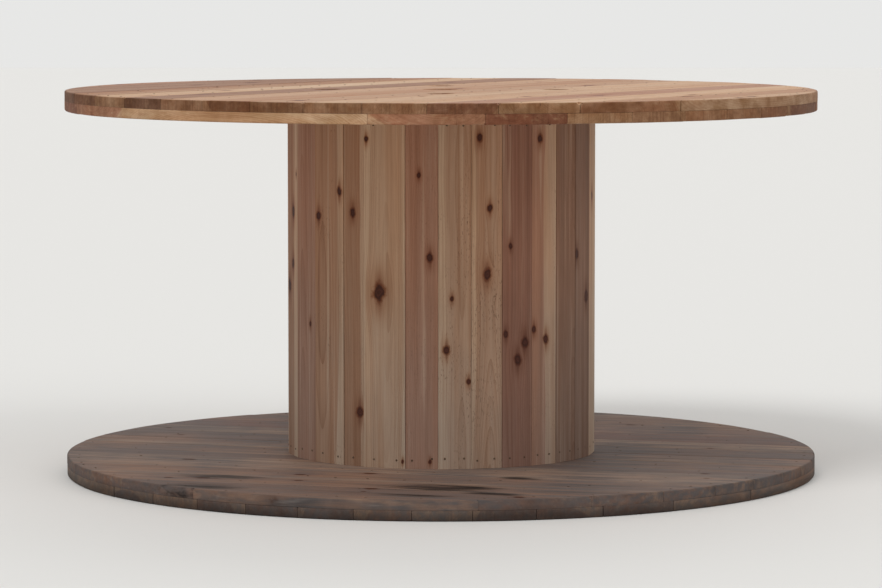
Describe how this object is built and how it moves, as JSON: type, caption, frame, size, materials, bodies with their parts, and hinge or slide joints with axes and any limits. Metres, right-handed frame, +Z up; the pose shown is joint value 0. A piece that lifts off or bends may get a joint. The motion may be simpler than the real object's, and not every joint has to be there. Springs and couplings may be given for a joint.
{
  "type": "wooden cable drum",
  "caption": "Large wooden cable drum standing on end: round flanges of crossed boards and a barrel of bevelled staves, pulled together by long bolts.",
  "frame": {"origin": "centre of the round face that the drum stands on, at floor level", "axes": "+Z up along the drum's own axis, which is its shortest way; -Y towards the picture's viewer, +X to the viewer's right"},
  "size_m": [2.1, 2.1, 1.072],
  "materials": {
    "flange_boards": "raw sawn conifer boards, greyed a little by weather",
    "core_boards": "raw sawn conifer boards",
    "stave_pale": "raw planed conifer, pale sapwood",
    "stave_tan": "raw planed conifer, tan",
    "stave_pink": "raw planed conifer, pinkish heartwood",
    "stave_brown": "raw planed conifer, reddish-brown heartwood",
    "zinc_steel": "zinc-plated, dull"
  },
  "bodies": {
    "root": {"bottom_core_disc": "core_boards", "bottom_flange_inner_boards": "flange_boards", "bottom_flange_outer_boards": "flange_boards", "bottom_washers": "zinc_steel", "stave_01": "stave_pink", "stave_02": "stave_tan", "stave_03": "stave_brown", "stave_04": "stave_pale", "stave_05": "stave_pink", "stave_06": "stave_pale", "stave_07": "stave_pale", "stave_08": "stave_brown", "stave_09": "stave_pale", "stave_10": "stave_pink", "stave_11": "stave_tan", "stave_12": "stave_pale", "stave_13": "stave_brown", "stave_14": "stave_pink", "stave_15": "stave_pale", "stave_16": "stave_pink", "stave_17": "stave_tan", "stave_18": "stave_pale", "stave_19": "stave_brown", "stave_20": "stave_pale", "stave_21": "stave_pink", "stave_22": "stave_tan", "stave_23": "stave_pale", "stave_24": "stave_brown", "stave_25": "stave_pale", "stave_26": "stave_pink", "stave_27": "stave_pale", "stave_28": "stave_tan", "tie_bolt_1": "zinc_steel", "tie_bolt_2": "zinc_steel", "tie_bolt_3": "zinc_steel", "tie_bolt_4": "zinc_steel", "top_core_disc": "core_boards", "top_flange_inner_boards": "flange_boards", "top_flange_outer_boards": "flange_boards", "top_nuts": "zinc_steel", "top_washers": "zinc_steel"}
  },
  "joints": []
}
